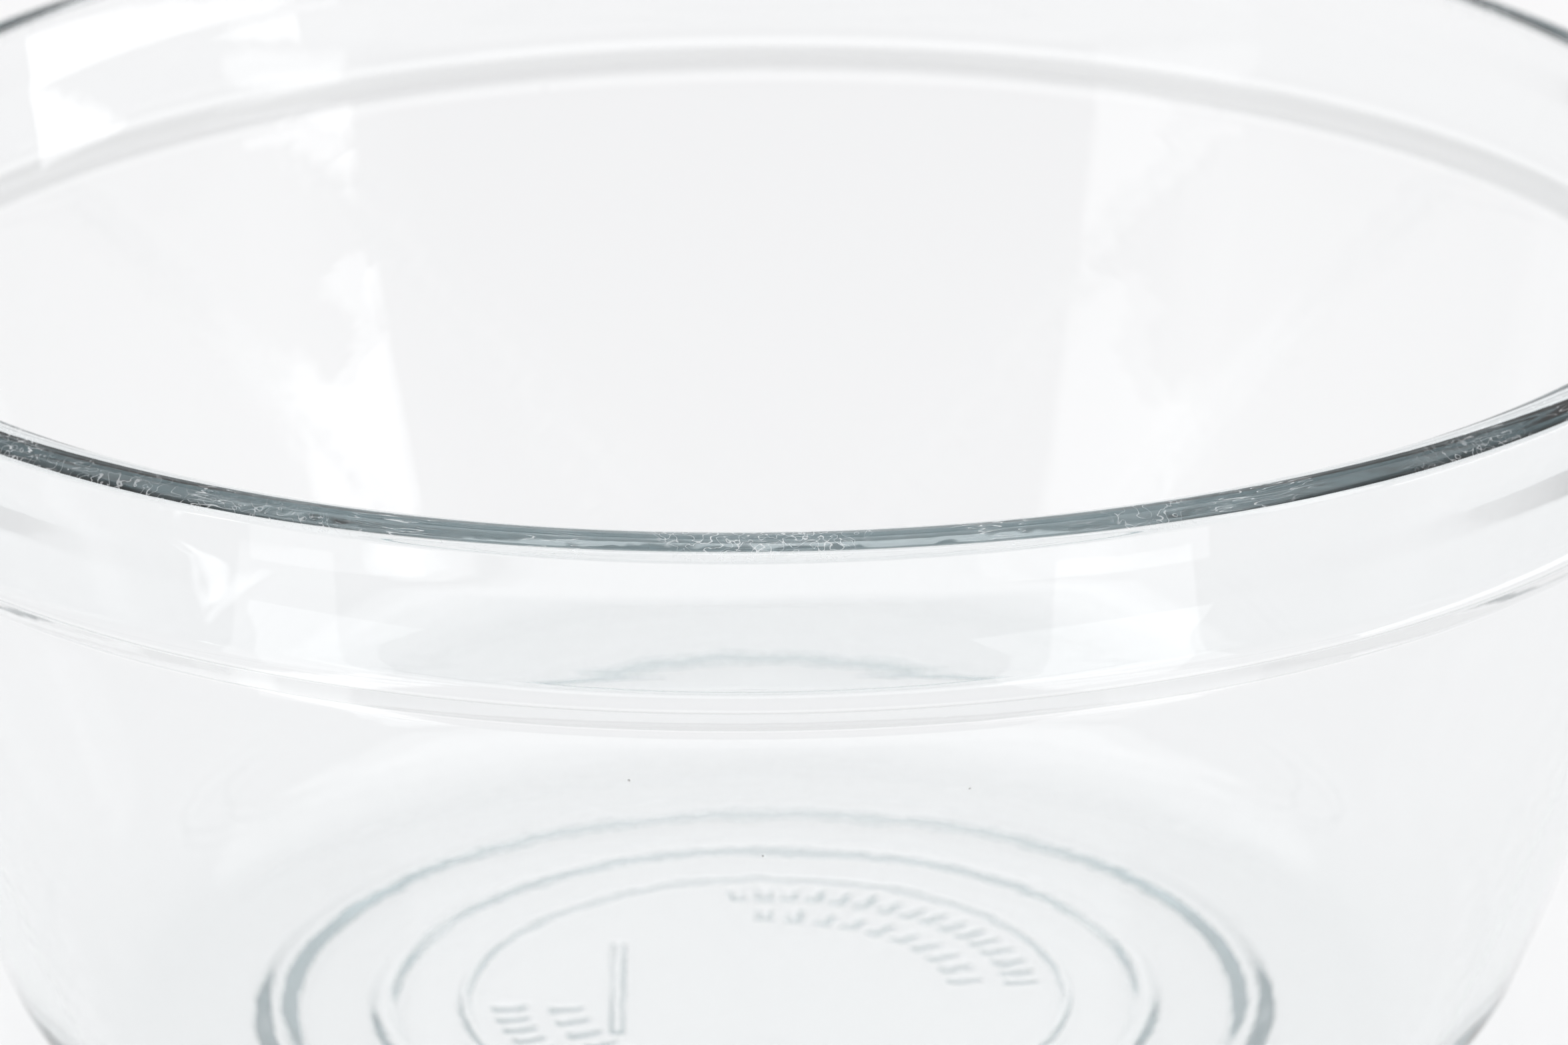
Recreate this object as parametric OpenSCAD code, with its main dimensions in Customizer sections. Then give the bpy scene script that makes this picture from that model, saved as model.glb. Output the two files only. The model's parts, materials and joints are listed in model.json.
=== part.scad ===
// Round pressed-glass dish with a stacking collar.
// One pressing of clear glass, turned about +Z. The origin is the centre of
// the foot ring's underside, so the dish stands on z = 0.
// The pressing is divided at its own moulded transitions into closed zones
// that meet face to face, so each zone can be changed or hidden by itself.

/* [Overall] */
// Height from the table to the top of the rim, mm
total_h = 91.8; // [88:0.1:100]
// Outside radius of the stacking collar, mm
collar_r = 102.6; // [102:0.1:104]
// Faces round the axis for the turned shapes
facets = 180; // [96:12:360]
// Straight steps along each small round of the section
round_steps = 5; // [3:1:8]
// Straight steps along the long wall curve
wall_steps = 12; // [8:1:20]

/* [Rim] */
// Radius of the clear mouth inside the rim, mm
mouth_r = 98; // [97.6:0.1:98.4]
// Radius of the highest line of the domed rim, mm
rim_peak_r = 99.9; // [99.2:0.1:100.6]
// Fall of the rim's inner slope, before it is rounded, mm
rim_in_drop = 0.5; // [0.2:0.1:1.2]
// Fall of the rim's outer slope, before it is rounded, mm
rim_out_drop = 1.3; // [0.3:0.1:1.6]
// Round over the highest line of the rim, mm
rim_peak_round = 3.7; // [1:0.1:6]
// Round on the outer edge of the rim, mm
rim_outer_round = 1.3; // [0.3:0.1:1.6]
// Round on the inner edge of the rim, mm
rim_inner_round = 0.5; // [0.3:0.1:1]
// Height of the lip zone at the top of the collar, mm
lip_h = 3.6; // [3:0.1:6]

/* [Collar and step] */
// Depth of the collar's lower outside edge below the rim, mm
collar_edge_depth = 16; // [15:0.1:17.6]
// Depth of the outside crease where the wall starts, mm
crease_depth = 20.2; // [19.2:0.1:21]
// Radius of the outside crease, mm
crease_r = 98.9; // [98.4:0.1:99.6]
// Round on the collar's lower outside edge, mm
collar_edge_round = 4.5; // [1:0.1:6]
// Round in the outside crease, mm
crease_round = 3.2; // [0.4:0.1:4]
// Radius of the inside where it starts to turn in to the wall, mm
in_bend_r = 97.2; // [96.8:0.1:97.3]
// Depth where the inside starts to turn in to the wall, mm
in_bend_depth = 6.8; // [6:0.1:9]
// Round of that upper inside bend, mm
in_bend_round = 40; // [5:1:60]
// Radius of the inside where the wall starts, mm
in_wall_r = 95.6; // [95.2:0.1:96.2]
// Depth where the inside of the wall starts, mm
in_wall_depth = 16.6; // [15:0.1:18.4]
// Round of that lower inside bend, mm
in_wall_round = 40; // [5:1:60]

/* [Wall and heel] */
// Radius of the wall's gentle bow, outside, mm
wall_bow_r = 433; // [360:1:600]
// Radius of the flat middle of the base, mm
base_flat_r = 62.7; // [60:0.1:65]
// Radius of the heel, outside, mm
heel_out_r = 18.15; // [17:0.05:20]
// Radius of the heel, inside, mm
heel_in_r = 14.7; // [13:0.1:16]
// Height where the wall zone ends and the heel zone starts, mm
heel_top = 17; // [16.2:0.1:22]

/* [Base] */
// Height of the foot ring, which lifts the base off the table, mm
foot_h = 1.0; // [0.8:0.1:1.6]
// Thickness of the base, mm
base_t = 4.5; // [4:0.1:5.5]
// Outside radius of the foot ring, mm
foot_out_r = 54; // [52:0.5:57]
// Inside radius of the foot ring, mm
foot_in_r = 48.5; // [46:0.5:50]
// Outside radius of the middle base ring, mm
mid_ring_out_r = 42; // [40:0.5:44]
// Inside radius of the middle base ring, mm
mid_ring_in_r = 38; // [36:0.5:39]
// Outside radius of the fine inner base ring, mm
fine_ring_out_r = 32.4; // [31.5:0.1:34]
// Inside radius of the fine inner base ring, mm
fine_ring_in_r = 30.8; // [29.6:0.1:31.2]

/* [Base marks] */
// Radius of the outer row of raised bars, mm
bar_row_r = 27; // [26:0.5:27.5]
// Radius of the inner row of raised bars, mm
bar_row2_r = 21.2; // [19:0.2:22]
// Angle between bars in the outer row, degrees
bar_pitch = 6; // [5:0.5:9]
// Width of one bar, mm
bar_w = 1.1; // [0.6:0.1:1.4]
// Length of one bar along the radius, mm
bar_l = 2.8; // [1.6:0.1:3]

/* [Hidden] */
$fn = facets;

glass = [0.80, 0.90, 0.90, 0.45];
glass_edge = [0.55, 0.74, 0.75, 0.60];

// Heights where the zones meet; the step zone reaches a little past its bends
floor_z = foot_h + base_t;
lip_z = total_h - lip_h;
step_top_z = total_h - collar_edge_depth + 3.5;
step_low_z = total_h - crease_depth - 2.6;

// Largest share of a corner's shorter side that its round may take
corner_share = 0.48;
peak_share = 0.7;
rim_outer_share = 0.29;
rim_inner_share = 0.19;

heel_steps = 2 * round_steps;
in_wall_bow_r = wall_bow_r - 4;
// Section points nearer than this to a cut are dropped
cut_gap = 0.02;

// Raised marks under the base
mid_ring_h = 0.4 * foot_h;
fine_ring_h = 0.3 * foot_h;
ring_flank = 0.9;
fine_ring_flank = 0.4;
bar_h = 0.3 * foot_h;
// First and last angle allowed for bars, in each half turn
bar_row_span = [6, 96];
bar_row2_span = [9, 94];
bar_pitch2 = 1.5 * bar_pitch;
// Straight ridge along Y: its low corner [x, y] and its size [x, y]
ridge_at = [-15.9, -10];
ridge_size = [0.8, 24];

// ---- geometry of the section, as points (radius, height) ----

function unit(v) = v / norm(v);
function direction(v) = atan2(v[1], v[0]);
function polar(radius, angle) = radius * [cos(angle), sin(angle)];
function tail(list) = [for (i = [1:len(list) - 1]) list[i]];
function backwards(list) = [for (i = [len(list) - 1:-1:0]) list[i]];

// Half the angle at the corner of the path before, corner, after
function half_angle(before, corner, after) =
    acos(unit(before - corner) * unit(after - corner)) / 2;

// Wanted radius, held back where it would take more than its share of a side
function fitted_radius(before, corner, after, wanted, share) =
    min(wanted, share * min(norm(before - corner), norm(after - corner))
                * tan(half_angle(before, corner, after)));

function round_centre(before, corner, after, radius) =
    corner + unit(unit(before - corner) + unit(after - corner))
             * (radius / sin(half_angle(before, corner, after)));

// Points of the round at a corner
function round_at(before, corner, after, wanted, share = corner_share) =
    let(radius = fitted_radius(before, corner, after, wanted, share),
        centre = round_centre(before, corner, after, radius),
        reach = radius / tan(half_angle(before, corner, after)),
        start = direction(corner + unit(before - corner) * reach - centre),
        end = direction(corner + unit(after - corner) * reach - centre),
        sweep = end - start,
        turn = sweep > 180 ? sweep - 360 : (sweep < -180 ? sweep + 360 : sweep))
    [for (i = [0:round_steps]) centre + polar(radius, start + turn * i / round_steps)];

// How far the top of such a round lies below its corner
function top_gap(before, corner, after, wanted, share) =
    let(radius = fitted_radius(before, corner, after, wanted, share))
    corner[1] - round_centre(before, corner, after, radius)[1] - radius;

// Wall and heel: a wide arc of radius bow_r from the point top, which runs
// smoothly into a heel of radius heel_r, which ends on the flat at height flat_z
function wall_and_heel(top, flat_z, heel_r, bow_r) =
    let(heel_centre = [base_flat_r, flat_z + heel_r],
        // The arcs touch, so their centres lie the difference of radii apart
        centre_gap = bow_r - heel_r,
        top_gap = norm(top - heel_centre),
        between = acos((centre_gap * centre_gap + top_gap * top_gap - bow_r * bow_r)
                       / (2 * centre_gap * top_gap)),
        to_bow = direction(top - heel_centre) + between,
        bow_centre = heel_centre + polar(centre_gap, to_bow),
        start = direction(top - bow_centre),
        join = to_bow - 180)
    concat(
        [for (i = [0:wall_steps])
            bow_centre + polar(bow_r, start + (join - start) * i / wall_steps)],
        [for (i = [1:heel_steps])
            heel_centre + polar(heel_r, join + (-90 - join) * i / heel_steps)]);

// ---- section of the pressing ----

// The two slopes of the rim meet a little above the round that joins them
peak_gap = top_gap([mouth_r, -rim_in_drop], [rim_peak_r, 0],
                   [collar_r, -rim_out_drop], rim_peak_round, peak_share);
peak = [rim_peak_r, total_h + peak_gap];
in_rim = [mouth_r, peak[1] - rim_in_drop];
out_rim = [collar_r, peak[1] - rim_out_drop];

// Outside, from the peak of the rim down to the base
out_edge = [collar_r, total_h - collar_edge_depth];
out_crease = [crease_r, total_h - crease_depth];
out_wall = wall_and_heel(out_crease, foot_h, heel_out_r, wall_bow_r);
outside = concat(
    round_at(in_rim, peak, out_rim, rim_peak_round, peak_share),
    round_at(peak, out_rim, out_edge, rim_outer_round, rim_outer_share),
    round_at(out_rim, out_edge, out_crease, collar_edge_round),
    round_at(out_edge, out_crease, out_wall[1], crease_round),
    tail(out_wall));

// Inside, from the rim down to the floor
in_bend = [in_bend_r, total_h - in_bend_depth];
in_wall_top = [in_wall_r, total_h - in_wall_depth];
in_wall = wall_and_heel(in_wall_top, floor_z, heel_in_r, in_wall_bow_r);
inside = concat(
    round_at(peak, in_rim, in_bend, rim_inner_round, rim_inner_share),
    round_at(in_rim, in_bend, in_wall_top, in_bend_round),
    round_at(in_bend, in_wall_top, in_wall[1], in_wall_round),
    tail(in_wall));

// Point of a falling curve at height z
function cut_at(curve, z) =
    [lookup(z, [for (point = backwards(curve)) [point[1], point[0]]]), z];

// Points of a curve clear above or below height z
function above(curve, z) = [for (point = curve) if (point[1] > z + cut_gap) point];
function below(curve, z) = [for (point = curve) if (point[1] < z - cut_gap) point];

// Parts of a falling curve, cut square: its top, a middle stretch, its end
function top_part(curve, low) = concat(above(curve, low), [cut_at(curve, low)]);
function stretch(curve, low, high) = concat(
    [cut_at(curve, high)],
    above(below(curve, high), low),
    [cut_at(curve, low)]);
function end_part(curve, high) = concat([cut_at(curve, high)], below(curve, high));

// ---- turned zones ----

module turned(points) rotate_extrude($fn = facets) polygon(points);

// Ring of glass between an outer and an inner falling curve
module shell(outer, inner) turned(concat(outer, backwards(inner)));

// Ring of the pressing between two heights
module zone(low, high)
    shell(stretch(outside, low, high), stretch(inside, low, high));

// Raised ring under the base, with sloping flanks
module raised_ring(r_in, r_out, h, flank)
    turned([[r_in, foot_h], [r_in + flank, foot_h - h],
            [r_out - flank, foot_h - h], [r_out, foot_h]]);

// Domed lip at the top of the collar
module rim_lip() color(glass_edge)
    shell(top_part(outside, lip_z), top_part(inside, lip_z));

// Upright band below the lip
module stacking_collar() color(glass) zone(step_top_z, lip_z);

// Step where the collar turns in to the wall
module stacking_step() color(glass_edge) zone(step_low_z, step_top_z);

// Long, gently bowed wall
module bowl_wall() color(glass) zone(heel_top, step_low_z);

// Curve from the wall into the flat base
module heel() color(glass_edge)
    shell(end_part(outside, heel_top), end_part(inside, heel_top));

// Flat middle of the base
module base_disc() color(glass)
    translate([0, 0, foot_h]) cylinder(r = base_flat_r, h = base_t, $fn = facets);

// Ring that the dish stands on
module foot_ring() color(glass_edge)
    raised_ring(foot_in_r, foot_out_r, foot_h, ring_flank);

// Broad ring inside the foot ring, clear of the table
module middle_base_ring() color(glass_edge)
    raised_ring(mid_ring_in_r, mid_ring_out_r, mid_ring_h, ring_flank);

// Fine ring round the middle of the base
module fine_base_ring() color(glass_edge)
    raised_ring(fine_ring_in_r, fine_ring_out_r, fine_ring_h, fine_ring_flank);

// Row of bars pointing along the radius, repeated on the opposite side
module bar_row(radius, pitch, span)
    for (half_turn = [0, 180], angle = [span[0]:pitch:span[1]])
        rotate([0, 0, half_turn + angle])
            translate([radius - bar_l / 2, -bar_w / 2, foot_h - bar_h])
                cube([bar_l, bar_w, bar_h]);

// Plain raised bars in two rows, and one straight ridge, under the base
module base_bars() color(glass_edge) {
    bar_row(bar_row_r, bar_pitch, bar_row_span);
    bar_row(bar_row2_r, bar_pitch2, bar_row2_span);
    translate([ridge_at[0], ridge_at[1], foot_h - bar_h])
        cube([ridge_size[0], ridge_size[1], bar_h]);
}

rim_lip();
stacking_collar();
stacking_step();
bowl_wall();
heel();
base_disc();
foot_ring();
middle_base_ring();
fine_base_ring();
base_bars();
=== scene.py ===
# Clear pressed-glass dish, open side up, turned about the Z axis.
# The camera stands on the -Y side and looks towards +Y, with +X on its right.
# The section of the glass is worked out in mm as (radius, height); the scene is in metres.
import json
import math

import bpy
import numpy as np
from mathutils import Matrix, Vector

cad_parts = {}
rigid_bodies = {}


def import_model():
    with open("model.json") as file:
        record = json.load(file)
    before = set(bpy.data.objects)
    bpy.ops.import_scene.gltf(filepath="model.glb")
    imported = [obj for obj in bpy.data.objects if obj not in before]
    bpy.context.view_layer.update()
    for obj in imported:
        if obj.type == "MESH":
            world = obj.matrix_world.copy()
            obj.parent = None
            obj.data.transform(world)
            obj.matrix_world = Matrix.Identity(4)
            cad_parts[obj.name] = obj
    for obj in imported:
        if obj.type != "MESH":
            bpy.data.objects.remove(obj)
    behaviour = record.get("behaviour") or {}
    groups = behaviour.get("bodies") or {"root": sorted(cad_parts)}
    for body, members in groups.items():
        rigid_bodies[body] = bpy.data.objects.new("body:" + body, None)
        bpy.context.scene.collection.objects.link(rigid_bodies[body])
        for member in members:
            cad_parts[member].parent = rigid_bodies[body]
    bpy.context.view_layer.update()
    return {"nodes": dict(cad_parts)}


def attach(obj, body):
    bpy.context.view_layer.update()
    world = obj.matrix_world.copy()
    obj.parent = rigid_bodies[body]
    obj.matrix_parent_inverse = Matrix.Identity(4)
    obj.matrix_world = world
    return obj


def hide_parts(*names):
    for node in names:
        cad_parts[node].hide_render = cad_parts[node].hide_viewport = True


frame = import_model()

MM = 0.001

# ------------------------------------------------------------------ sizes read from the frame, mm


def span(name):
    """Least and greatest radius, then least and greatest height, of a CAD node."""
    points = np.array([v.co for v in frame["nodes"][name].data.vertices], float) * 1000
    radius, z = np.hypot(points[:, 0], points[:, 1]), points[:, 2]
    return radius.min(), radius.max(), z.min(), z.max()


TOTAL_H = span("rim_lip")[3]
FLAT_R, _, BASE_Z, _ = span("heel")     # the flat base ends where the heel begins
FLOOR_Z = span("base_disc")[3]          # inside floor
BARS_Z = span("base_bars")[2]

# raised rings under the base: (inner radius, outer radius, lowest height, flank width)
BASE_RINGS = [
    (*span(name)[:3], flank)
    for name, flank in (("foot_ring", 2.7), ("middle_base_ring", 1.9), ("fine_base_ring", 0.78))
]

# ------------------------------------------------------------------ sizes of the section, mm

# rim: two slopes that meet at the crown; drops are measured down from the crown
MOUTH_R, CROWN_R, COLLAR_R = 98.0, 99.9, 102.6
MOUTH_DROP, COLLAR_DROP = 0.5, 1.3
CROWN_ROUND, MOUTH_ROUND, COLLAR_ROUND = 3.7, 0.5, 1.3

# outside, below the rim; depths are measured down from the top
EDGE_DEPTH, EDGE_ROUND = 16.0, 4.5
CREASE_R, CREASE_DEPTH, CREASE_ROUND = 98.9, 20.2, 3.2

# inside, below the rim: two gentle bends
BEND_R, BEND_DEPTH = 97.2, 6.8
LOW_BEND_R, LOW_BEND_DEPTH = 95.6, 16.6
BEND_ROUND = 40.0

# bowed wall and rounded heel
WALL_BOW_OUT = 433.0
WALL_BOW_IN = WALL_BOW_OUT - 4
HEEL_ROUND_OUT, HEEL_ROUND_IN = 18.15, 14.7
HEEL_STEPS = 34

LINE_STEP = 1.6         # longest step along a straight run
POLE_GAP = 0.8          # innermost ring of vertices, next to the axis
FLAT_END = FLAT_R - 0.4

# radii of the rings of vertices under the base: (start, stop, step)
UNDER_RUNS = [
    (POLE_GAP, 34.0, 0.38),
    (34.0, 36.9, 0.9),
    (37.6, 42.6, 0.22),
    (43.0, 47.8, 0.9),
    (48.1, 54.6, 0.22),
    (55.2, FLAT_END, 1.1),
]
SEGMENTS = 420

# radial bars under the base, repeated after half a turn:
# (radius of row, first angle, last angle, pitch), angles in degrees
BAR_ROWS = [(27.0, 6.0, 96.0, 6.0), (21.2, 9.0, 94.0, 9.0)]
BAR_HALF_LENGTH, BAR_END_FLANK = 1.75, 0.55
BAR_HALF_WIDTH, BAR_SIDE_FLANK = 0.95, 0.6
BARS_LIMIT_R = 29.5

# straight ridge beside the bars, parallel to Y
RIDGE_X, RIDGE_Y = -15.5, 2.0
RIDGE_HALF_WIDTH, RIDGE_SIDE_FLANK = 0.85, 0.6
RIDGE_HALF_LENGTH, RIDGE_END_FLANK = 12.4, 0.8

# unevenness of the glass, from none at the first radius to full beyond the fade
UNEVEN_START_R, UNEVEN_FADE = 58, 14

# ------------------------------------------------------------------ section of the glass


def unit(v):
    return v / np.linalg.norm(v)


def angle_of(v):
    return math.atan2(v[1], v[0])


def arc(center, radius, start, sweep_steps):
    """Points on a circle; `sweep_steps` holds the angles to add to `start`."""
    angles = start + sweep_steps
    x = center[0] + radius * np.cos(angles)
    return np.stack([x, center[1] + radius * np.sin(angles)], 1)


def round_corner(before, corner, after, radius, steps):
    to_before, to_after = unit(before - corner), unit(after - corner)
    half = math.acos(float(to_before @ to_after)) / 2
    center = corner + unit(to_before + to_after) * (radius / math.sin(half))
    first = corner + to_before * radius / math.tan(half)
    last = corner + to_after * radius / math.tan(half)
    start = angle_of(first - center)
    sweep = (angle_of(last - center) - start + math.pi) % (2 * math.pi) - math.pi
    return arc(center, radius, start, sweep * np.linspace(0, 1, steps + 1))


def rounded(points, radii, steps):
    """One run of points for every corner inside a path; a straight corner stays a point."""
    points = [np.array(p, float) for p in points]
    runs = []
    for k, (radius, count) in enumerate(zip(radii, steps)):
        before, corner, after = points[k: k + 3]
        if float(unit(before - corner) @ unit(after - corner)) < -0.99999:
            runs.append(corner[None])
        else:
            runs.append(round_corner(before, corner, after, radius, count))
    return runs


def wall_and_heel(top, flat_z, heel_radius, wall_radius, wall_steps):
    """Bowed wall from `top` down, running tangent into a heel that ends level at FLAT_R."""
    top = np.array(top, float)
    heel_center = np.array([FLAT_R, flat_z + heel_radius])
    between = wall_radius - heel_radius
    reach = np.linalg.norm(top - heel_center)
    # the triangle of the two centres and the top gives the direction of the wall's centre
    turn = math.acos((between**2 + reach**2 - wall_radius**2) / (2 * between * reach))
    direction = angle_of(top - heel_center) + turn
    wall_center = heel_center + between * np.array([math.cos(direction), math.sin(direction)])
    wall_top = angle_of(top - wall_center)
    tangent = direction - math.pi
    wall = arc(wall_center, wall_radius, 0, np.linspace(wall_top, tangent, wall_steps + 1))
    heel_angles = np.linspace(tangent, -math.pi / 2, HEEL_STEPS + 1)[1:]
    return np.vstack([wall, arc(heel_center, heel_radius, 0, heel_angles)])


def line(start, end):
    count = max(1, int(math.ceil(np.linalg.norm(end - start) / LINE_STEP)))
    return start + (end - start) * np.linspace(0, 1, count + 1)[:, None]


def chain(*runs):
    """Joins runs of points, dropping repeats and filling straight gaps."""
    joined = [runs[0]]
    for run in runs[1:]:
        last = joined[-1][-1]
        if np.linalg.norm(run[0] - last) < 1e-6:
            joined.append(run[1:])
        else:
            joined += [line(last, run[0])[1:-1], run]
    return np.vstack([run for run in joined if len(run)])


def rim_path(crown_z):
    """Mouth, crown and collar corners of the rim."""
    return ([MOUTH_R, crown_z - MOUTH_DROP], [CROWN_R, crown_z],
            [COLLAR_R, crown_z - COLLAR_DROP])


def section():
    """Outer and inner side of the glass, each from the top of the rim to the base."""
    # the slopes meet above the round that joins them; the round reaches the full height
    crown_arc = rounded(rim_path(0.0), [CROWN_ROUND], [40])[0]
    mouth, crown, collar = rim_path(TOTAL_H - float(crown_arc[:, 1].max()))
    edge = [COLLAR_R, TOTAL_H - EDGE_DEPTH]
    crease = [CREASE_R, TOTAL_H - CREASE_DEPTH]
    bend = [BEND_R, TOTAL_H - BEND_DEPTH]
    low_bend = [LOW_BEND_R, TOTAL_H - LOW_BEND_DEPTH]

    # the first points of each wall give way to the round above it
    outer_wall = wall_and_heel(crease, BASE_Z, HEEL_ROUND_OUT, WALL_BOW_OUT, 56)[3:]
    inner_wall = wall_and_heel(low_bend, FLOOR_Z, HEEL_ROUND_IN, WALL_BOW_IN, 64)[6:]
    top = rounded([mouth, crown, collar], [CROWN_ROUND], [10])[0]
    middle = len(top) // 2
    outer_corners = rounded([crown, collar, edge, crease, outer_wall[0]],
                            [COLLAR_ROUND, EDGE_ROUND, CREASE_ROUND], [16, 10, 8])
    inner_corners = rounded([crown, mouth, bend, low_bend, inner_wall[0]],
                            [MOUTH_ROUND, BEND_ROUND, BEND_ROUND], [14, 14, 12])
    outer = chain(top[middle:], *outer_corners, outer_wall)
    inner = chain(top[: middle + 1][::-1], *inner_corners, inner_wall)
    return outer, inner


def smoothstep(t):
    t = np.clip(t, 0, 1)
    return t * t * (3 - 2 * t)


def under_height(radius):
    """Underside from the axis to the heel: flat, with rounded raised rings."""
    z = np.full_like(radius, BASE_Z)
    for inner_r, outer_r, low_z, flank in BASE_RINGS:
        rise = (BASE_Z - low_z) * smoothstep((radius - inner_r) / flank)
        z -= rise * smoothstep((outer_r - radius) / flank)
    return z


def dish_loop():
    """Section from the axis along the underside, up, over the rim and back; underside count."""
    outer, inner = section()
    under_r = np.concatenate([np.arange(*run) for run in UNDER_RUNS])
    under = np.stack([under_r, under_height(under_r)], 1)
    floor_r = np.arange(POLE_GAP, FLAT_END, 1.6)
    inside_floor = np.stack([floor_r, np.full_like(floor_r, FLOOR_Z)], 1)
    return np.vstack([under, outer[::-1], inner[1:], inside_floor[::-1]]), len(under)


# ------------------------------------------------------------------ dish


def waves(theta, along, seed, amplitude, round_range, along_range):
    """Sum of nine random waves, running round the axis and along the section."""
    rng = np.random.RandomState(seed)
    total = np.zeros_like(theta)
    for _ in range(9):
        round_count = rng.randint(*round_range)
        along_rate = rng.uniform(*along_range)
        phase = rng.uniform(0, 6.28)
        weight = rng.uniform(0.4, 1.0)
        total += np.cos(round_count * theta + along_rate * along + phase) * weight
    return amplitude * total / 3.0


def bars_height(x, y):
    """Raised bars in two rows, and one straight ridge, 0 to 1."""
    radius = np.hypot(x, y)
    degrees = np.degrees(np.arctan2(y, x)) % 180.0
    height = np.zeros_like(radius)
    for row_r, first, last, pitch in BAR_ROWS:
        nearest = np.clip(np.round((degrees - first) / pitch), 0,
                          math.floor((last - first) / pitch))
        offset = np.radians(degrees - (first + nearest * pitch)) * radius
        length = smoothstep((BAR_HALF_LENGTH - np.abs(radius - row_r)) / BAR_END_FLANK)
        width = smoothstep((BAR_HALF_WIDTH - np.abs(offset)) / BAR_SIDE_FLANK)
        height = np.maximum(height, length * width)
    ridge_width = smoothstep((RIDGE_HALF_WIDTH - np.abs(x - RIDGE_X)) / RIDGE_SIDE_FLANK)
    ridge_length = smoothstep((RIDGE_HALF_LENGTH - np.abs(y - RIDGE_Y)) / RIDGE_END_FLANK)
    return np.maximum(height, ridge_width * ridge_length)


def dish_faces(rings):
    """Quads between the rings, and a fan of triangles to the pole at either end."""
    ring_start = np.arange(rings - 1)[:, None] * SEGMENTS
    here = np.arange(SEGMENTS)
    after = (here + 1) % SEGMENTS
    next_ring = ring_start + SEGMENTS
    quads = np.stack([ring_start + here, ring_start + after,
                      next_ring + after, next_ring + here], -1).reshape(-1, 4)
    low_pole = np.full(SEGMENTS, rings * SEGMENTS)
    last_ring = (rings - 1) * SEGMENTS
    low_fan = np.stack([low_pole, after, here], 1)
    high_fan = np.stack([low_pole + 1, last_ring + here, last_ring + after], 1)
    return quads.tolist() + low_fan.tolist() + high_fan.tolist()


def turned_dish(name):
    loop, under_count = dish_loop()
    # outward normals of the section, and the length along it
    tangent = np.gradient(loop, axis=0)
    tangent /= np.linalg.norm(tangent, axis=1)[:, None]
    normal = np.stack([tangent[:, 1], -tangent[:, 0]], 1)
    length = np.concatenate([[0], np.cumsum(np.linalg.norm(np.diff(loop, axis=0), axis=1))])
    theta, along = np.meshgrid(np.linspace(0, 2 * math.pi, SEGMENTS, endpoint=False), length)

    uneven = (waves(theta, along, 7, 0.008, (2, 11), (-0.12, 0.12))
              + waves(theta, along, 19, 0.0035, (12, 34), (-0.35, 0.35)))
    uneven = uneven * np.clip((loop[:, :1] - UNEVEN_START_R) / UNEVEN_FADE, 0, 1)
    radius = loop[:, 0:1] + uneven * normal[:, 0:1]
    z = loop[:, 1:2] + uneven * normal[:, 1:2]
    x, y = radius * np.cos(theta), radius * np.sin(theta)
    under = slice(under_count)
    z[under] -= ((BASE_Z - BARS_Z) * bars_height(x[under], y[under])
                 * (radius[under] < BARS_LIMIT_R))
    points = np.stack([x, y, z], -1).reshape(-1, 3)
    points = np.vstack([points, [[0, 0, BASE_Z]], [[0, 0, FLOOR_Z]]]) * MM

    mesh = bpy.data.meshes.new(name)
    mesh.from_pydata(points.tolist(), [], dish_faces(len(loop)))
    mesh.update()
    # developed coordinates for the material: radians round the axis, mm along the section
    developed = np.zeros((len(points), 3), np.float32)
    developed[:-2, 0] = theta.reshape(-1)
    developed[:-2, 1] = along.reshape(-1)
    attribute = mesh.attributes.new("dev", "FLOAT_VECTOR", "POINT")
    attribute.data.foreach_set("vector", developed.ravel())
    mesh.polygons.foreach_set("use_smooth", [True] * len(mesh.polygons))
    return add_object(name, mesh)


def add_object(name, data):
    ob = bpy.data.objects.new(name, data)
    bpy.context.scene.collection.objects.link(ob)
    return ob


dish = turned_dish("dish_glass")

# ------------------------------------------------------------------ shader building


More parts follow.
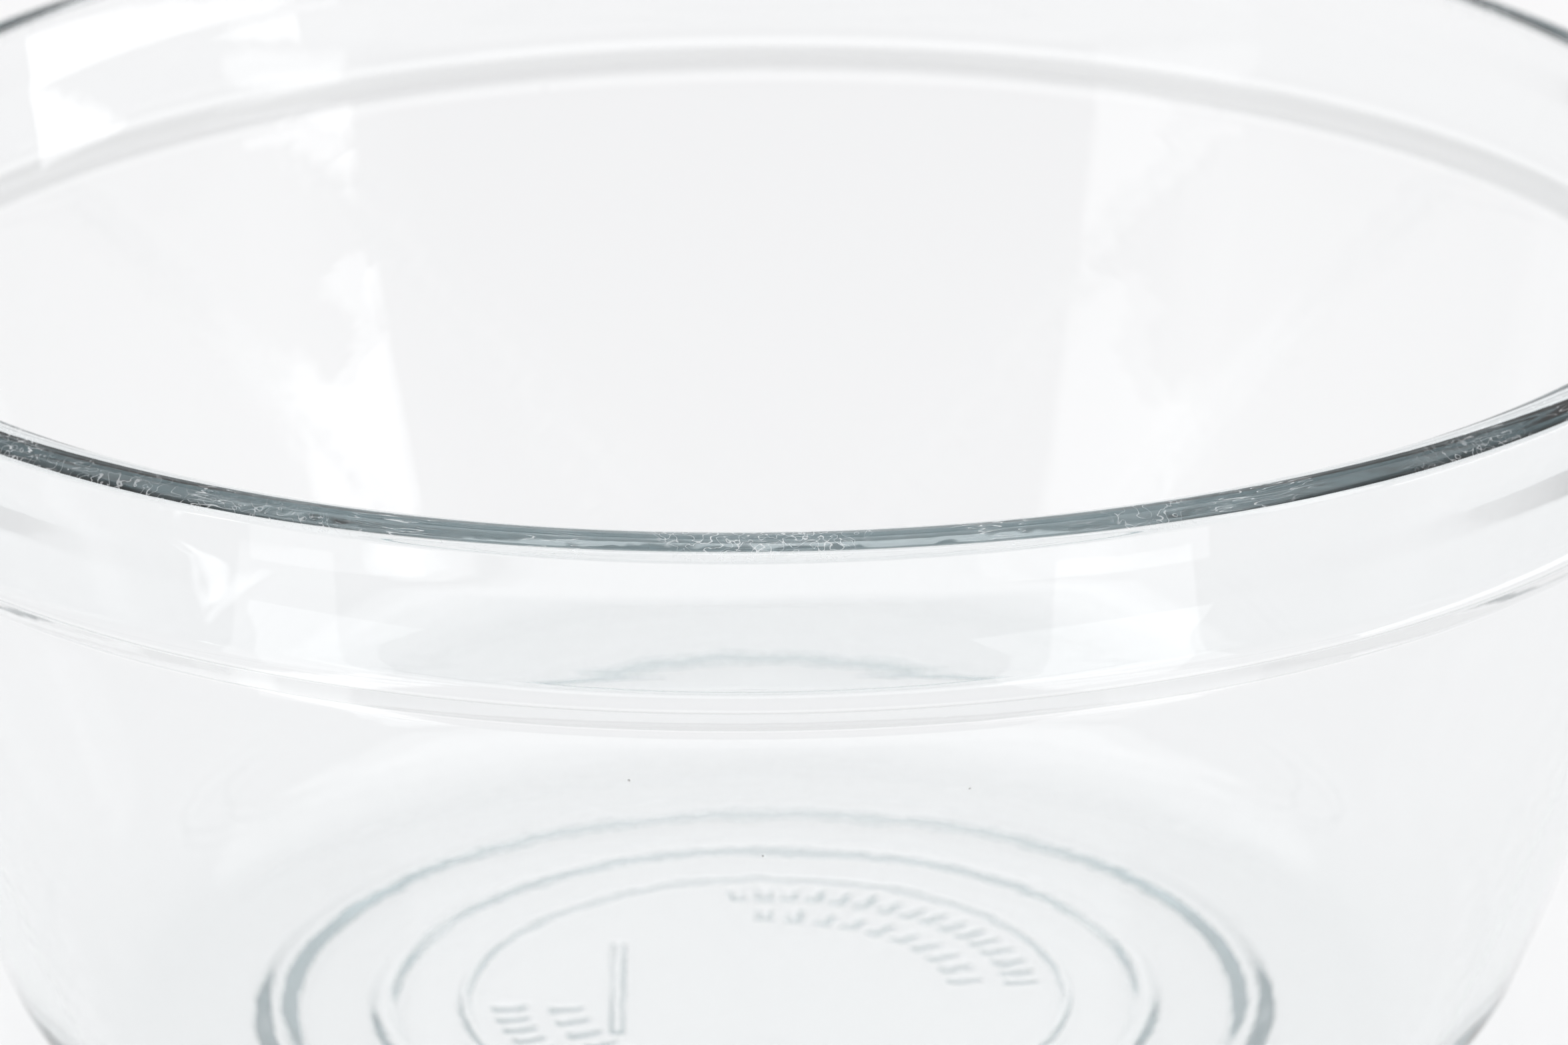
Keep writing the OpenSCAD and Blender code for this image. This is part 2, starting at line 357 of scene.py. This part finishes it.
class Graph:
    """Short ways to add nodes; an input takes either a socket to link or a plain value."""

    def __init__(self, owner):
        owner.use_nodes = True
        self.nodes = owner.node_tree.nodes
        self.links = owner.node_tree.links

    def feed(self, node, inputs):
        for key, value in inputs.items():
            if isinstance(value, bpy.types.NodeSocket):
                self.links.new(value, node.inputs[key])
            else:
                node.inputs[key].default_value = value

    def add(self, kind, inputs={}, **settings):
        node = self.nodes.new("ShaderNode" + kind)
        for key, value in settings.items():
            setattr(node, key, value)
        self.feed(node, inputs)
        return node

    def math(self, operation, *values, clamp=False):
        node = self.add("Math", dict(enumerate(values)), operation=operation, use_clamp=clamp)
        return node.outputs[0]

    def ramp(self, value, low, high):
        """Smooth step from 0 at `low` to 1 at `high`."""
        inputs = {"From Min": low, "From Max": high, "Value": value}
        return self.add("MapRange", inputs, interpolation_type="SMOOTHSTEP").outputs["Result"]

    def noise(self, vector, scale, detail, distortion=0.0):
        inputs = {"Scale": scale, "Detail": detail, "Distortion": distortion, "Vector": vector}
        return self.add("TexNoise", inputs).outputs["Fac"]

    def hair(self, value, width):
        """A thin line where a noise crosses its middle value."""
        distance = self.math("ABSOLUTE", self.math("SUBTRACT", value, 0.5))
        return self.math("SUBTRACT", 1.0, self.ramp(distance, width * 0.4, width))

    def split(self, vector):
        return self.add("SeparateXYZ", {0: vector}).outputs

    def mix_color(self, factor, first, second):
        inputs = {"A": (*first, 1), "B": (*second, 1), "Factor": factor}
        return self.add("Mix", inputs, data_type="RGBA").outputs["Result"]

    def mix_shader(self, factor, first, second):
        return self.add("MixShader", {"Fac": factor, 1: first, 2: second}).outputs["Shader"]

    def diffuse(self, color):
        return self.add("BsdfDiffuse", {"Color": (*color, 1)}).outputs["BSDF"]


# ------------------------------------------------------------------ glass

RIM_MARKS_Z = (0.0902, 0.0906)      # m, wear and haze fade in between these heights
RIM_UNROLL_R = 100.0                # mm, turns the angle round the axis into a length


def clear_glass(graph, position):
    """Clear glass with the faint orange-peel of pressed glass."""
    peel = graph.noise(position, scale=240, detail=1.5)
    bump = graph.add("Bump", {"Strength": 0.10, "Distance": 0.00008, "Height": peel})
    return graph.add("BsdfPrincipled", {
        "Base Color": (1, 1, 1, 1),
        "Roughness": 0.0,
        "IOR": 1.52,
        "Transmission Weight": 1.0,
        "Normal": bump.outputs["Normal"],
    }).outputs["BSDF"]


def rim_marks(graph, position):
    """Wear marks, scratches and haze on the rim, as one amount."""
    around, down, _ = graph.split(graph.add("Attribute", attribute_name="dev").outputs["Vector"])
    around = graph.math("MULTIPLY", around, RIM_UNROLL_R)
    flat = graph.add("CombineXYZ", {0: around, 1: down}).outputs[0]
    stretched = graph.math("MULTIPLY", around, 0.10)
    lines = graph.add("CombineXYZ", {0: stretched, 1: down}).outputs[0]
    on_rim = graph.ramp(graph.split(position)["Z"], *RIM_MARKS_Z)

    # curled wear marks in patches
    curls = graph.hair(graph.noise(flat, scale=0.62, detail=0.6, distortion=1.6), width=0.022)
    curl_patches = graph.ramp(graph.noise(flat, scale=0.035, detail=0.0), 0.50, 0.60)
    # fine scratches that follow the rim
    fine = graph.hair(graph.noise(lines, scale=2.4, detail=0.5, distortion=0.4), width=0.020)
    fine_patches = graph.ramp(graph.noise(flat, scale=0.09, detail=1.0), 0.46, 0.62)
    wear = graph.math("MAXIMUM", graph.math("MULTIPLY", curls, curl_patches),
                      graph.math("MULTIPLY", fine, fine_patches))
    wear = graph.math("MULTIPLY", graph.math("MULTIPLY", wear, on_rim), 0.55)
    # a haze that is only just visible
    haze = graph.ramp(graph.noise(flat, scale=0.22, detail=3.0), 0.50, 0.75)
    haze = graph.math("MULTIPLY", graph.math("MULTIPLY", haze, on_rim), 0.05)
    return graph.math("ADD", wear, haze, clamp=True)


def dust_specks(graph, position):
    """Stray specks in some of the cells of a Voronoi pattern, as an amount."""
    cells = graph.add("TexVoronoi", {"Scale": 95.0, "Vector": position}).outputs
    chance = graph.add("SeparateColor", {0: cells["Color"]}).outputs[0]
    speck = graph.math("SUBTRACT", 1.0, graph.ramp(cells["Distance"], 0.010, 0.017))
    speck = graph.math("MULTIPLY", speck, graph.ramp(chance, 0.62, 0.64))
    return graph.math("MULTIPLY", speck, 0.55)


def glass_material():
    material = bpy.data.materials.new("clear_glass")
    graph = Graph(material)
    graph.nodes.clear()
    output = graph.add("OutputMaterial")
    position = graph.add("NewGeometry").outputs["Position"]
    glass = clear_glass(graph, position)
    worn = graph.mix_shader(rim_marks(graph, position), glass, graph.diffuse((0.90, 0.91, 0.92)))
    dusty = graph.mix_shader(dust_specks(graph, position), worn,
                             graph.diffuse((0.32, 0.30, 0.28)))
    # lamps reach the floor through the glass, a little dimmed
    dimmed = graph.add("BsdfTransparent", {"Color": (0.84, 0.845, 0.845, 1)}).outputs["BSDF"]
    is_shadow = graph.add("LightPath").outputs["Is Shadow Ray"]
    # blue-green tint through the thickness
    tint = graph.add("VolumeAbsorption", {"Color": (0.0, 0.19, 0.235, 1), "Density": 6.5})
    graph.feed(output, {
        "Surface": graph.mix_shader(is_shadow, dusty, dimmed),
        "Volume": tint.outputs["Volume"],
    })
    return material


dish.data.materials.append(glass_material())
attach(dish, "root")
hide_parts(*sorted(frame["nodes"]))

# ------------------------------------------------------------------ floor

FLOOR_HALF = 6.5                            # m
FLOOR_COLOR = (0.868, 0.866, 0.868)
FAR_FLOOR_PAINTED_LIGHT = (0.985, 0.985, 0.985)     # painted light: the floor behind the dish is coloured brighter where the lamps light it less, so the glass mirrors it evenly
FAR_FLOOR_Y = (0.42, 0.70)                  # m, the brighter painted-light colour fades in between these
FAR_FLOOR_Z = (0.05, 0.01)                  # m, and only below these


def floor_material():
    material = bpy.data.materials.new("pale_floor")
    graph = Graph(material)
    _, y, z = graph.split(graph.add("NewGeometry").outputs["Position"])
    # painted light: far behind the dish the floor colour is brightened to stand in for lamp light
    # that falls off there
    far_painted_light = graph.math("MULTIPLY", graph.ramp(y, *FAR_FLOOR_Y), graph.ramp(z, *FAR_FLOOR_Z))
    surface = graph.nodes["Principled BSDF"]
    surface.inputs["Base Color"].default_value = (*FLOOR_COLOR, 1)
    graph.feed(surface, {
        "Base Color": graph.mix_color(far_painted_light, FLOOR_COLOR, FAR_FLOOR_PAINTED_LIGHT),
        "Roughness": 0.6,
        "Specular IOR Level": 0.2,
    })
    return material


def floor_plane():
    """Pale floor that runs far out round the dish."""
    half = FLOOR_HALF
    corners = [(-half, -half, 0), (half, -half, 0), (half, half, 0), (-half, half, 0)]
    mesh = bpy.data.meshes.new("floor")
    mesh.from_pydata(corners, [], [(0, 1, 2, 3)])
    mesh.materials.append(floor_material())
    return add_object("floor", mesh)


floor_plane()

# ------------------------------------------------------------------ lights


def area_light(name, location, rotation, size, power):
    light = bpy.data.lights.new(name, "AREA")
    light.shape = "RECTANGLE"
    light.size, light.size_y = size
    light.energy = power
    ob = add_object(name, light)
    ob.location = location
    ob.rotation_euler = rotation
    return ob


def aimed_light(name, location, target, size, power):
    rotation = (Vector(target) - Vector(location)).to_track_quat("-Z", "Y").to_euler()
    return area_light(name, location, rotation, size, power)


def floor_pool(name, start, end, width, radiance):
    """Strip just above the floor, shining up, from start to end."""
    start, end = Vector((*start, 0.003)), Vector((*end, 0.003))
    run = end - start
    rotation = (math.pi, 0, math.atan2(run.y, run.x) - math.pi / 2)
    power = math.pi * width * run.length * radiance
    return area_light(name, (start + end) / 2, rotation, (width, run.length), power)


aimed_light("overhead", (0.0, 0.1, 1.9), target=(0, 0.1, 0), size=(2.4, 2.4), power=14.9)
aimed_light("window_left", (-1.05, -0.75, 0.62), target=(0, 0, 0.05), size=(0.50, 0.8), power=0.9)
aimed_light("window_right", (1.1, -0.6, 0.55), target=(0, 0, 0.05), size=(0.35, 0.7), power=1.3)
glass_only = [
    # low card to the right of the dish
    aimed_light("card_right", (0.40, -0.02, 0.022), target=(0, -0.02, 0.022),
                size=(0.34, 0.040), power=0.12),
    # pools of light in front of the dish, to either side
    floor_pool("pool_left", (-0.109, -0.133), (-0.228, -0.224), width=0.055, radiance=0.85),
    floor_pool("pool_right", (0.088, -0.153), (0.182, -0.268), width=0.075, radiance=1.1),
]
for ob in bpy.data.objects:
    if ob.type == "LIGHT":
        ob.visible_camera = False
# the card and the pools light the glass only, so they leave no streak on the floor
lit = bpy.data.collections.new("lit_by_card")
lit.objects.link(dish)
for ob in glass_only:
    ob.light_linking.receiver_collection = lit

# ------------------------------------------------------------------ world

ROOM_COLOR = (0.858, 0.856, 0.860)
DARK_SIDE_COLOR = (0.46, 0.465, 0.485)


def studio_world():
    """Even white room, with a darker side behind the camera that ends short of overhead."""
    world = bpy.data.worlds.new("studio")
    bpy.context.scene.world = world
    graph = Graph(world)
    _, y, z = graph.split(graph.add("TexCoord").outputs["Generated"])
    dark = graph.math("MULTIPLY", graph.ramp(y, -0.35, -0.8), graph.ramp(z, 0.8, 0.55))
    room = graph.mix_color(dark, ROOM_COLOR, DARK_SIDE_COLOR)
    graph.feed(graph.nodes["Background"], {"Color": room, "Strength": 1.0})


studio_world()

# ------------------------------------------------------------------ camera and render

CAMERA_PLACE = (0, -0.9843, 0.4246234)      # m
FOCUS_PLACE = (0, -0.09843, 0.09193)        # m, at the front of the rim
PAN, TILT, ROLL = map(math.radians, (-0.14, 20.55, 0.50))   # tilt is downwards
SENSOR_WIDTH, LENS = 36, 233.9693878        # mm


def add_camera():
    data = bpy.data.cameras.new("camera")
    camera = add_object("camera", data)
    turn = (Matrix.Rotation(PAN, 3, "Z") @ Matrix.Rotation(-TILT, 3, "X")
            @ Matrix.Rotation(ROLL, 3, "Y"))
    right, forward, up = turn.col[0], turn.col[1], turn.col[2]
    # a camera looks along its own -Z, with Y up
    rotation = Matrix((right, up, -forward)).transposed()
    camera.matrix_world = Matrix.Translation(CAMERA_PLACE) @ rotation.to_4x4()
    data.sensor_width = SENSOR_WIDTH
    data.lens = LENS
    data.clip_start = 0.01
    focus = add_object("focus", None)
    focus.location = FOCUS_PLACE
    data.dof.use_dof = True
    data.dof.focus_object = focus
    data.dof.aperture_fstop = 36
    bpy.context.scene.camera = camera


add_camera()

scene = bpy.context.scene
scene.view_settings.view_transform = "Standard"
scene.view_settings.look = "None"
scene.view_settings.exposure = 0
# light has to pass through many layers of glass
scene.cycles.max_bounces = 64
scene.cycles.transmission_bounces = 64
scene.cycles.glossy_bounces = 32
scene.cycles.transparent_max_bounces = 16
scene.cycles.sample_clamp_indirect = 6.0
scene.cycles.blur_glossy = 0.3
